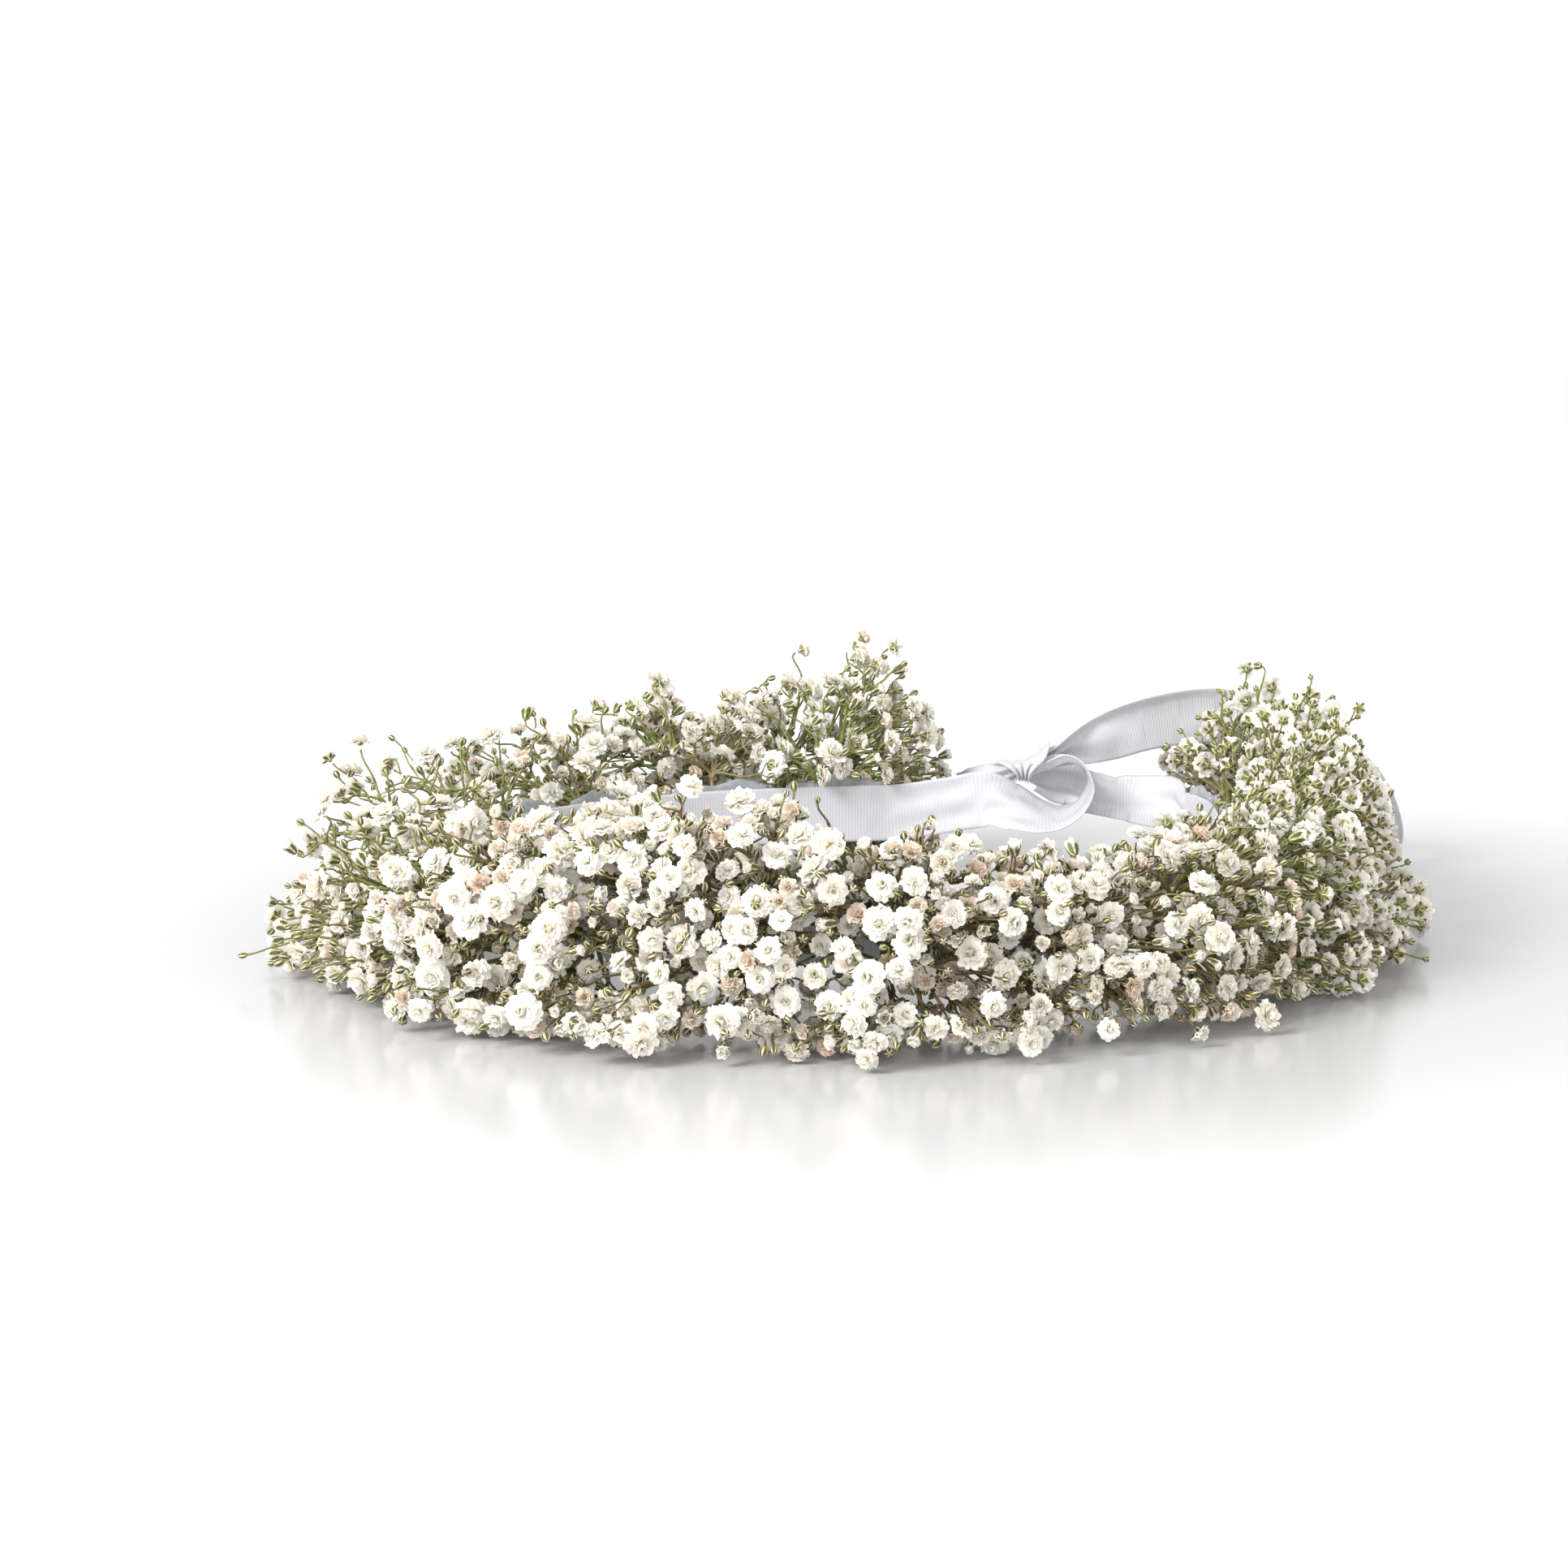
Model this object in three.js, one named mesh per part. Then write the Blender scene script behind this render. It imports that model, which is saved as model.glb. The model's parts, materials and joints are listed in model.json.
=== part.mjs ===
// Flower crown of baby's breath. Sixteen sprays are glued round the outside of a grosgrain
// ribbon, which stands on edge as an open ring. Its two bare ends meet in a knot at the back,
// one of them after a slack loop, and leave it as a long and a short tail.
// Millimetres. +Z is up, +Y points to the knotted back, and the crown lies on z = 0.
import * as THREE from 'three';
import { mergeVertices } from 'three/addons/utils/BufferGeometryUtils.js';

// Driving dimensions
const RIBBON_WIDTH = 16;
const RIBBON_THICKNESS = 0.6;
const RIBBON_BASE = 13;          // lower edge of the ribbon ring above the table
const GAP = 0.3;                 // clearance between pieces that touch
const GLUE_THICKNESS = 1.6;
const STEM_THICKNESS = 3;        // a flattened bundle of stems, measured outwards
const SPRAY_COUNT = 16;
const SPRAY_GAP = 1.2;           // between neighbouring sprays, at the ribbon
const BLOOM_GAP = 1;             // between the stems and the flower heads round them
const BLOOM_SIDES = 14;
const BLOOM_SINK = 3;            // how far the table flattens the flower heads
const END_DOME = 15;             // how far the outermost sprays reach past the glued ribbon
const KNOT = new THREE.Vector3(62.6, 96.5, 33);
const KNOT_RADII = [6.5, 4.6, 6.8];

// Inner face of the glued ribbon, seen from above, from the right-hand end round the front
// to the left-hand end.
const ring = new THREE.CatmullRomCurve3([
  [106, 88], [111, 72], [112, 48], [108, 12], [96, -28], [68, -63], [22, -82], [-28, -78],
  [-66, -55], [-86, -20], [-88, 15], [-77, 47], [-54, 71], [-22, 88], [25, 99],
].map(([x, y]) => new THREE.Vector3(x, y, 0)), false, 'centripetal');
const RING_LENGTH = ring.getLength();

const MATERIALS = {
  ribbon: { color: 0xf4f4f8, roughness: 0.55, metalness: 0 },
  glue: { color: 0xd9d9d6, roughness: 0.15, metalness: 0 },
  stems: { color: 0x6d7a45, roughness: 0.7, metalness: 0 },
  blooms: { color: 0xefe8da, roughness: 0.85, metalness: 0 },
};

const crown = new THREE.Group();

function addPiece(name, geometry, look) {
  const material = new THREE.MeshStandardMaterial({ ...MATERIALS[look], flatShading: true });
  const mesh = new THREE.Mesh(geometry, material);
  mesh.name = name;
  crown.add(mesh);
}

// A point at distance `along` the ring, `out` from the ribbon's inner face and `up` from the
// table. Past either end of the ring it runs straight on.
function ringPoint(along, out, up) {
  const inside = THREE.MathUtils.clamp(along / RING_LENGTH, 0, 1);
  const tangent = ring.getTangentAt(inside);
  const point = ring.getPointAt(inside);
  point.addScaledVector(tangent, along - inside * RING_LENGTH);
  point.x -= tangent.y * out;
  point.y += tangent.x * out;
  point.z = up;
  return point;
}

function signedVolume(geometry) {
  const p = geometry.attributes.position;
  const index = geometry.index.array;
  const corner = [0, 1, 2].map(() => new THREE.Vector3());
  let sum = 0;
  for (let i = 0; i < index.length; i += 3) {
    corner.forEach((c, k) => c.fromBufferAttribute(p, index[i + k]));
    sum += corner[0].dot(corner[1].clone().cross(corner[2]));
  }
  return sum / 6;
}

// A closed body through a row of sections with the same number of corners. Each end is closed
// by a fan from the middle of its section.
function loft(sections) {
  const sides = sections[0].length;
  const positions = sections.flat().flatMap((p) => [p.x, p.y, p.z]);
  const index = [];
  for (let row = 0; row < sections.length - 1; row += 1) {
    for (let j = 0; j < sides; j += 1) {
      const a = row * sides + j;
      const b = row * sides + ((j + 1) % sides);
      index.push(a, b, b + sides, a, b + sides, a + sides);
    }
  }
  const ends = [[0, 1], [sections.length - 1, -1]];
  for (const [row, turn] of ends) {
    const centre = new THREE.Vector3();
    sections[row].forEach((p) => centre.addScaledVector(p, 1 / sides));
    const hub = positions.length / 3;
    positions.push(centre.x, centre.y, centre.z);
    for (let j = 0; j < sides; j += 1) {
      const a = row * sides + j;
      const b = row * sides + ((j + 1) % sides);
      index.push(...(turn > 0 ? [hub, b, a] : [hub, a, b]));
    }
  }
  const geometry = new THREE.BufferGeometry();
  geometry.setAttribute('position', new THREE.Float32BufferAttribute(positions, 3));
  geometry.setIndex(index);
  if (signedVolume(geometry) < 0) index.reverse();
  geometry.setIndex(index);
  geometry.computeVertexNormals();
  return geometry;
}

// A length of ribbon. `centres` are points on its middle line, and `halves` the vectors from
// there to its upper edge, so a short vector is where it is gathered.
function ribbonStrip(centres, halves, steps) {
  const smooth = (points) => new THREE.CatmullRomCurve3(
    points.map((p) => new THREE.Vector3(...p)), false, 'centripetal');
  const middle = smooth(centres);
  const edge = smooth(centres.map((c, i) => c.map((v, k) => v + halves[i][k])));
  const sections = [];
  for (let i = 0; i <= steps; i += 1) {
    const centre = middle.getPoint(i / steps);
    const half = edge.getPoint(i / steps).sub(centre);
    const face = middle.getTangent(i / steps).cross(half).setLength(RIBBON_THICKNESS / 2);
    sections.push([[1, 1], [1, -1], [-1, -1], [-1, 1]].map(([up, out]) => centre.clone()
      .addScaledVector(half, up).addScaledVector(face, out)));
  }
  return loft(sections);
}

function ribbonBand(steps) {
  const sections = [];
  for (let i = 0; i <= steps; i += 1) {
    const along = (RING_LENGTH * i) / steps;
    const top = RIBBON_BASE + RIBBON_WIDTH;
    sections.push([
      ringPoint(along, 0, RIBBON_BASE), ringPoint(along, RIBBON_THICKNESS, RIBBON_BASE),
      ringPoint(along, RIBBON_THICKNESS, top), ringPoint(along, 0, top),
    ]);
  }
  return loft(sections);
}

// Hot-melt glue squeezed between ribbon and stems. It rises a little above the ribbon's edge.
function glueBead(start, end, number) {
  const sections = [];
  const steps = 6;
  const inner = RIBBON_THICKNESS + GAP;
  for (let i = 0; i <= steps; i += 1) {
    const swell = Math.sin((Math.PI * (i + 0.6)) / (steps + 1.2));
    const along = THREE.MathUtils.lerp(start, end, i / steps);
    const middle = RIBBON_BASE + RIBBON_WIDTH * 0.62 + Math.sin(number * 2.3);
    const half = 2.2 + 5.8 * swell;
    const outer = inner + GLUE_THICKNESS * (0.55 + 0.45 * swell);
    sections.push([
      ringPoint(along, inner, middle - half), ringPoint(along, outer, middle - half * 0.8),
      ringPoint(along, outer, middle + half * 0.8), ringPoint(along, inner, middle + half),
    ]);
  }
  return loft(sections);
}

// Stems of one spray, flattened against the glue and fanning out along the ribbon.
const STEMS_INNER = RIBBON_THICKNESS + GLUE_THICKNESS + 2 * GAP;
const STEMS_OUTER = STEMS_INNER + STEM_THICKNESS;

function stemBundle(start, end) {
  const sections = [];
  const steps = 4;
  for (let i = 0; i <= steps; i += 1) {
    const fan = i / steps;
    const along = THREE.MathUtils.lerp(start, end, fan);
    const middle = RIBBON_BASE + RIBBON_WIDTH / 2;
    const half = 4 + 7 * fan;
    const bulge = (STEMS_INNER + STEMS_OUTER) / 2;
    sections.push([
      ringPoint(along, STEMS_INNER, middle - half * 0.7), ringPoint(along, bulge, middle - half),
      ringPoint(along, STEMS_OUTER, middle - half * 0.7), ringPoint(along, STEMS_OUTER, middle + half * 0.7),
      ringPoint(along, bulge, middle + half), ringPoint(along, STEMS_INNER, middle + half * 0.7),
    ]);
  }
  return loft(sections);
}

// The flower heads of one spray: a lobed cushion from just outside the stems to the crown's
// outer rim, flat where it rests on the table. Sprays near the open back stand taller, and the
// first one is kept short of the long tail that passes behind it.
function bloomCushion(start, end, number) {
  const position = (number + 0.5) / SPRAY_COUNT;
  const openness = (2 * position - 1) ** 2;
  const top = 54 + 12 * openness + 2 * Math.sin(number * 2.1);
  const frontness = Math.exp(-(((position - 0.45) / 0.22) ** 2));
  const shortfall = number === 0 ? 12 : 0;
  const reach = 50 + 12 * frontness + 1.5 * Math.cos(number * 1.9) - shortfall;
  const inner = STEMS_OUTER + BLOOM_GAP;
  const steps = 5;
  const sections = [];
  for (let i = 0; i <= steps; i += 1) {
    const swell = 0.74 + 0.26 * Math.sin((Math.PI * i) / steps) ** 0.7;
    const along = THREE.MathUtils.lerp(start, end, i / steps);
    const section = [];
    for (let j = 0; j < BLOOM_SIDES; j += 1) {
      const angle = (2 * Math.PI * j) / BLOOM_SIDES;
      const lobe = swell * (1 + 0.05 * Math.sin(3 * angle + number * 1.7 + i));
      const out = (inner + reach) / 2 + ((reach - inner) / 2 + 2) * Math.cos(angle) * lobe;
      const up = top / 2 - BLOOM_SINK + (top / 2 + BLOOM_SINK) * Math.sin(angle) * lobe;
      section.push(ringPoint(along, Math.max(out, inner), Math.max(up, 0)));
    }
    sections.push(section);
  }
  return loft(sections);
}

function addSprays() {
  const pitch = RING_LENGTH / SPRAY_COUNT;
  for (let number = 0; number < SPRAY_COUNT; number += 1) {
    const label = String(number + 1).padStart(2, '0');
    const start = number * pitch + SPRAY_GAP / 2;
    const end = (number + 1) * pitch - SPRAY_GAP / 2;
    const first = number === 0 ? END_DOME : 0;
    const last = number === SPRAY_COUNT - 1 ? END_DOME : 0;
    addPiece(`glue_bead_${label}`, glueBead(start + 3, end - 3, number), 'glue');
    addPiece(`spray_${label}_stems`, stemBundle(start + 1, end - 1), 'stems');
    addPiece(`spray_${label}_blooms`, bloomCushion(start - first, end + last, number), 'blooms');
  }
}

function knotBody() {
  const ball = new THREE.IcosahedronGeometry(1, 1);
  ball.deleteAttribute('normal');
  ball.deleteAttribute('uv');
  const geometry = mergeVertices(ball, 1e-4);
  geometry.scale(...KNOT_RADII);
  geometry.translate(KNOT.x, KNOT.y, KNOT.z);
  geometry.computeVertexNormals();
  return geometry;
}

function addTies() {
  addPiece('ribbon_tie_left', ribbonStrip(
    [[26, 99.5, 21], [40, 98, 24], [53, 89, 27], [66, 82, 25.5], [77, 85.5, 25.5], [80.5, 92, 29],
      [77, 96.5, 32], [70.5, 96.5, 33]],
    [[0, 0, 8], [0, 0, 7.7], [0, 1, 7.7], [-2, 3, 6], [-3, 0, 6.5], [0, 0, 6], [0, 0, 5], [0, 0, 3]],
    28), 'ribbon');
  addPiece('ribbon_tie_right', ribbonStrip(
    [[104.7, 90, 21], [99, 96.5, 23.5], [88, 99.5, 25], [77, 101.5, 27], [68.5, 103, 31]],
    [[0, 0, 8], [0, 0, 7.8], [0, 0, 7.2], [0, 0, 5], [0, 0, 3]],
    14), 'ribbon');
  addPiece('ribbon_knot', knotBody(), 'ribbon');
}

// The two cut ends that hang from the knot. The long one arches over the right-hand sprays
// and comes down outside them to lie on the table.
function addTails() {
  addPiece('ribbon_tail_long', ribbonStrip(
    [[67.5, 103.5, 40], [76, 106, 42], [88, 109, 44.5], [98, 114, 48], [108, 120, 51], [120, 125, 52.5],
      [133, 127, 51], [145, 128, 47], [156, 128, 40], [165, 128, 29.5], [170.5, 127, 19],
      [171.5, 126, 9], [168.5, 125, 2.4], [160, 124, 0.6], [149, 123, 0.6]],
    [[0, 0, 3.5], [0, 0, 6], [0, 1, 7.8], [0, 4, 6.9], [0, 7, 3.6], [0, 8, 0.6],
      [0, 8, 0], [0, 8, 0], [0, 8, 0], [0, 8, 0], [0, 8, 0], [0, 8, 0], [0, 8, 0], [0, 8, 0], [0, 8, 0]],
    40), 'ribbon');
  addPiece('ribbon_tail_short', ribbonStrip(
    [[57.5, 103.5, 31], [52, 108, 28], [47.5, 115, 24], [45, 124, 21], [44, 134, 19]],
    [[0, 0, 3.5], [0, 0, 6], [0, 1, 7.8], [0, 0, 8], [0, 0, 8]],
    12), 'ribbon');
}

addPiece('ribbon_band', ribbonBand(72), 'ribbon');
addSprays();
addTies();
addTails();

// The origin is under the middle of the crown, on the table.
const box = new THREE.Box3().setFromObject(crown);
crown.position.set(-(box.min.x + box.max.x) / 2, -(box.min.y + box.max.y) / 2, -box.min.z);

export default crown;
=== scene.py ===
"""Looks of the flower crown: double baby's breath glued round a tied grosgrain ribbon.

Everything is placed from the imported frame: the sprays follow the ribbon_band node, and the
ties, loop and tails follow the knot, which is where both joints are. Lengths in this file are
millimetres until a mesh is made.
"""

import json
import math

import bpy
import numpy as np
from mathutils.kdtree import KDTree
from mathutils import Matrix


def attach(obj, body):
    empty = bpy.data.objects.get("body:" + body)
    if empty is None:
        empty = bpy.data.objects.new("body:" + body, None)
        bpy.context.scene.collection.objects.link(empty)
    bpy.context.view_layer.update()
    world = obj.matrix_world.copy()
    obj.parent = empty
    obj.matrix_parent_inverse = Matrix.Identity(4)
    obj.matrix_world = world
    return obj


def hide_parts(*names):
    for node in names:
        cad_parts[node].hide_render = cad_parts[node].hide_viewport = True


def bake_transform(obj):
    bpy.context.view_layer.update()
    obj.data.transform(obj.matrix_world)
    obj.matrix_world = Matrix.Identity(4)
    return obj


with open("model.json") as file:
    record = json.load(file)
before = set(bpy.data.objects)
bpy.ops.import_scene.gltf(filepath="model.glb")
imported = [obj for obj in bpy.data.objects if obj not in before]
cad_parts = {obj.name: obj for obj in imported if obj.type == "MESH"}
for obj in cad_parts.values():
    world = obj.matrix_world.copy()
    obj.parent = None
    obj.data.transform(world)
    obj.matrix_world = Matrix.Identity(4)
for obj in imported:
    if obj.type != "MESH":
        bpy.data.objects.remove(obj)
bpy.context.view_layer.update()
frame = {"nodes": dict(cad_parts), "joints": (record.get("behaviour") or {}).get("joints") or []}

MM = 0.001
SEED = 20261118

# Ribbon
RIBBON_WIDTH = 16.0
RIBBON_THICKNESS = 0.36
RIB_PITCH = 0.9
RIB_HEIGHT = 0.05
SAMPLES_PER_RIB = 3

# Sprays, in order from the right-hand end round the front to the left-hand end
SPRAY_TOPS = [60, 58, 54, 51, 47, 43, 54, 57, 53, 44, 46, 49, 49, 49, 51, 61]
SPRAY_REACH = [42, 47, 49, 51, 54, 59, 61, 62, 60, 55, 50, 48, 50, 53, 54, 52]
# How far the twigs lean along the ribbon: -1 towards the right-hand end, +1 the other way
SPRAY_LEAN = [-1, -1, -0.9, -0.7, -0.3, -0.1, 0.2, 0, -0.2, 0, 0.1, 0, -0.1, 0.1, 0.4, 0.8]
SPRAY_FULLNESS = [0.95, 1, 1, 1, 1, 1, 1, 1, 0.95, 0.5, 0.1, 0, 0.2, 0.75, 1, 0.95]
# How far apart the flowers stand, against those of the left-hand front
SPRAY_SPACING = [1.18, 1.06, 1.06, 1.06, 1.07, 1.08, 1.05, 1, 0.94, 0.92, 0.95, 1, 1, 1, 1.02, 1.12]
# The flowers' size, against those of the left-hand front
SPRAY_SIZE = [0.92, 0.92, 0.92, 0.93, 0.95, 0.95, 0.97, 1, 1.06, 1.05, 1, 0.95, 0.95, 1, 1, 1]
# 0 where the twigs are green, 1 where they have dried brown
SPRAY_BROWN = [0.1, 0.1, 0.1, 0.15, 0.3, 0.5, 0.55, 0.5, 0.4, 0.3, 0.12, 0.08, 0.12, 0.2, 0.35, 0.2]
# How far the flowers reach past each end of the glued ribbon
RIGHT_DOME, LEFT_DOME = 44.0, 21.0
# From the right-hand end to here the flowers leave the ribbon's upper edge bare
OPEN_STRETCH = 110.0
# The most flower heads of each kind. Fewer are placed where there is no room for more
OUTER_FLORETS, INNER_FLORETS = 1700, 800
OUTER_BUDS, INNER_BUDS = 1450, 1900
SPRIGS = 150
SPRIG_HEIGHT = 7.0               # how far a sprig may stand above its spray's top
SPRIG_BUD_SHARE = 0.45
RIBBON_CLEARANCE = 4.6           # from a flower head's middle to the ribbon
BUD_FOOT, FLOWER_FOOT = 1.5, 3.2  # from a head's middle back to where its stalk ends
STEM_BED = 2.9                   # from the ribbon's inner face to the middle of the glued stems
FINE_TWIG = 0.7                  # twigs thinner than this swell and turn tan at their forks
TABLE_SQUEEZE = 1.2              # what hangs lower than this is squeezed into it


# ---------------------------------------------------------------- small vector helpers

def unit(v):
    return v / np.maximum(np.linalg.norm(v, axis=-1, keepdims=True), 1e-9)


def blend_in(x, low, high):
    """0 below low, 1 above high and smooth between."""
    t = np.clip((x - low) / (high - low), 0, 1)
    return t * t * (3 - 2 * t)


def spline(points, count):
    """A centripetal Catmull-Rom curve through points, as count points evenly far apart."""
    p = np.asarray(points, float)
    p = np.vstack([2 * p[0] - p[1], p, 2 * p[-1] - p[-2]])
    fine = []
    for i in range(1, len(p) - 2):
        knots = [0.0]
        for a, b in zip(p[i - 1:i + 2], p[i:i + 3]):
            knots.append(knots[-1] + max(np.linalg.norm((b - a)[:3]), 1e-6) ** 0.5)
        t = np.linspace(knots[1], knots[2], 24, endpoint=False)[:, None]
        a = [((knots[j + 1] - t) * p[i - 1 + j] + (t - knots[j]) * p[i + j])
             / (knots[j + 1] - knots[j]) for j in range(3)]
        b = [((knots[j + 2] - t) * a[j] + (t - knots[j]) * a[j + 1])
             / (knots[j + 2] - knots[j]) for j in range(2)]
        fine.append(((knots[2] - t) * b[0] + (t - knots[1]) * b[1]) / (knots[2] - knots[1]))
    fine = np.vstack(fine + [p[-2:-1]])
    reach = lengths_along(fine)
    even = np.linspace(0, reach[-1], count)
    return np.column_stack([np.interp(even, reach, fine[:, k]) for k in range(p.shape[1])])


def lengths_along(points):
    """Distance along a line of points, from its start. Only the first three columns are places."""
    steps = np.linalg.norm(np.diff(points[:, :3], axis=0), axis=1)
    return np.concatenate([[0], np.cumsum(steps)])


# ---------------------------------------------------------------- meshes

class Pile:
    """Quads gathered for one mesh, each vertex with a tint of four numbers for its material."""

    def __init__(self):
        self.verts, self.faces, self.tints, self.count = [], [], [], 0

    def add(self, verts, faces, tints):
        self.verts.append(verts.reshape(-1, 3))
        self.faces.append(faces.reshape(-1, 4) + self.count)
        self.tints.append(tints.reshape(-1, 4))
        self.count += len(self.verts[-1])

    def build(self, name, material):
        verts = np.concatenate(self.verts) * MM
        faces = np.concatenate(self.faces)
        mesh = bpy.data.meshes.new(name)
        mesh.vertices.add(len(verts))
        mesh.vertices.foreach_set("co", verts.astype(np.float32).ravel())
        mesh.loops.add(faces.size)
        mesh.loops.foreach_set("vertex_index", faces.astype(np.int32).ravel())
        mesh.polygons.add(len(faces))
        mesh.polygons.foreach_set("loop_start", np.arange(0, faces.size, 4, dtype=np.int32))
        mesh.polygons.foreach_set("use_smooth", np.ones(len(faces), bool))
        mesh.update(calc_edges=True)
        tint = mesh.attributes.new("tint", "FLOAT_COLOR", "POINT")
        tint.data.foreach_set("color", np.concatenate(self.tints).astype(np.float32).ravel())
        mesh.materials.append(material)
        piece = bpy.data.objects.new(name, mesh)
        bpy.context.scene.collection.objects.link(piece)
        return piece


def grid_faces(rows, columns, closed=False):
    """Quads of a rows x columns grid of vertices, closed round its columns if asked."""
    r = np.arange(rows - 1)[:, None] * columns
    across = columns if closed else columns - 1
    c = np.arange(across)[None, :]
    after = (c + 1) % columns
    return np.stack([r + c, r + after, r + columns + after, r + columns + c], -1).reshape(-1, 4)


def closed_tube_faces(rows, columns):
    """Quads of a tube with an even number of columns, closed at both ends by strips of quads."""
    faces = [grid_faces(rows, columns, closed=True)]
    for row, turned in ((0, True), (rows - 1, False)):
        for k in range(columns // 2 - 1):
            quad = np.array([k, k + 1, columns - 2 - k, columns - 1 - k]) + row * columns
            faces.append((quad[::-1] if turned else quad)[None])
    return np.vstack(faces)


# ---------------------------------------------------------------- flower templates
# A template is (vertices, faces, tints). It stands on the origin, where its stalk ends, and
# opens towards +Z. A tint's last two numbers are set later, for each flower.

def petal(rng, rise, length, half_width, curl, ruffle, rows=4, columns=5):
    """A notched petal, a single layer, that leaves the centre along +X at the angle rise and curls
    outwards."""
    v = np.linspace(0, 1, rows)[:, None]
    u = np.linspace(-1, 1, columns)[None, :]
    notch = 0.12 * np.exp(-((u - rng.uniform(-0.15, 0.15)) / 0.3) ** 2)
    t = v * (1 - 0.12 * u ** 2 - notch + 0.035 * rng.standard_normal((1, columns)))
    angle = rise - curl * t / 2
    side = u * half_width * (0.25 + 0.75 * np.sin(np.clip(v * 1.15, 0, 1) * math.pi / 2))
    wave = np.sin(u * rng.uniform(3, 6) + rng.uniform(0, 6.3))
    wave = wave + 0.6 * rng.standard_normal((1, columns))
    twist = rng.uniform(-0.45, 0.45)
    lift = ruffle * v ** 1.4 * wave + 0.3 * half_width * u ** 2 * v + side * math.sin(twist) * v
    normal = rise - curl * t
    x = 0.35 + length * t * np.cos(angle) - np.sin(normal) * lift
    z = 1.7 + length * t * np.sin(angle) + np.cos(normal) * lift
    y = side * math.cos(twist)
    verts = np.stack(np.broadcast_arrays(x, y, z), -1).reshape(-1, 3)
    return verts, grid_faces(rows, columns), np.broadcast_to(v, (rows, columns)).ravel()


def flower(rng, layers):
    """Whorls of petals, each given as (count, rise in degrees, length, half width, curl, ruffle)."""
    verts, faces, tints, count = [], [], [], 0
    for depth, (number, rise, length, half, curl, ruffle) in enumerate(layers):
        turn = rng.uniform(0, 2 * math.pi)
        for k in range(number):
            swing = turn + 2 * math.pi * (k + rng.uniform(-0.25, 0.25)) / number
            size = rng.uniform(0.85, 1.12)
            tilt = math.radians(rise + rng.uniform(-9, 9))
            p, f, along = petal(rng, tilt, length * size, half * size, math.radians(curl), ruffle,
                                columns=5 if depth < 4 else 4)
            c, s = math.cos(swing), math.sin(swing)
            turned = np.column_stack([p[:, 0] * c - p[:, 1] * s, p[:, 0] * s + p[:, 1] * c, p[:, 2]])
            verts.append(turned)
            faces.append(f + count)
            inner = np.full(len(p), depth / (len(layers) - 1))
            tints.append(np.column_stack([along, inner, inner * 0, inner * 0]))
            count += len(p)
    return np.vstack(verts), np.vstack(faces), np.vstack(tints)


def open_flower(rng):
    """A full double flower, about 8.5 mm across."""
    droop = rng.uniform(-8, 8)
    return flower(rng, [
        (8, -6 + droop, 3.9, 1.75, 22, 0.28),
        (8, 14 + droop, 3.8, 1.65, 26, 0.32),
        (8, 34 + droop, 3.6, 1.45, 26, 0.34),
        (7, 54, 3.4, 1.25, 20, 0.34),
        (6, 70, 3.2, 1.05, 4, 0.32),
        (5, 74, 3.1, 0.95, -30, 0.30),
        (4, 62, 2.6, 0.9, -60, 0.24),
        (3, 80, 2.5, 0.24, 30, 0.1),
    ])


def half_open_flower(rng):
    """A cup of petals that haven't spread yet, about 5 mm across."""
    return flower(rng, [
        (6, 48, 3.2, 1.4, -34, 0.18),
        (6, 60, 3.4, 1.2, -26, 0.22),
        (5, 74, 3.3, 0.95, -12, 0.22),
        (4, 86, 3.0, 0.7, -6, 0.2),
        (2, 84, 2.8, 0.24, 10, 0.1),
    ])


def aged_flower(rng):
    """An older flower, shrunk and crumpled into a ball, about 6.5 mm across."""
    return flower(rng, [
        (8, 10, 3.1, 1.4, -20, 0.50),
        (7, 32, 3.1, 1.3, -14, 0.55),
        (7, 52, 3.1, 1.2, -10, 0.5),
        (6, 70, 3.1, 1.0, -4, 0.5),
        (4, 86, 2.9, 0.8, -4, 0.45),
        (2, 84, 2.4, 0.24, 10, 0.1),
    ])


def round_shell(profile, sides=10):
    """A shell of revolution whose first tint number is 0 along five ribs and 1 between them."""
    angle = np.arange(sides) * 2 * math.pi / sides
    r = np.array([p[0] for p in profile])[:, None]
    z = np.array([p[1] for p in profile])[:, None]
    verts = np.stack(np.broadcast_arrays(r * np.cos(angle), r * np.sin(angle), z), -1).reshape(-1, 3)
    edge = np.broadcast_to(np.arange(sides) % 2, (len(profile), sides)).ravel()
    along = np.broadcast_to(np.linspace(0, 1, len(profile))[:, None], (len(profile), sides)).ravel()
    tints = np.column_stack([edge, along, along * 0, along * 0])
    return verts, grid_faces(len(profile), sides, closed=True), tints


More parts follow.
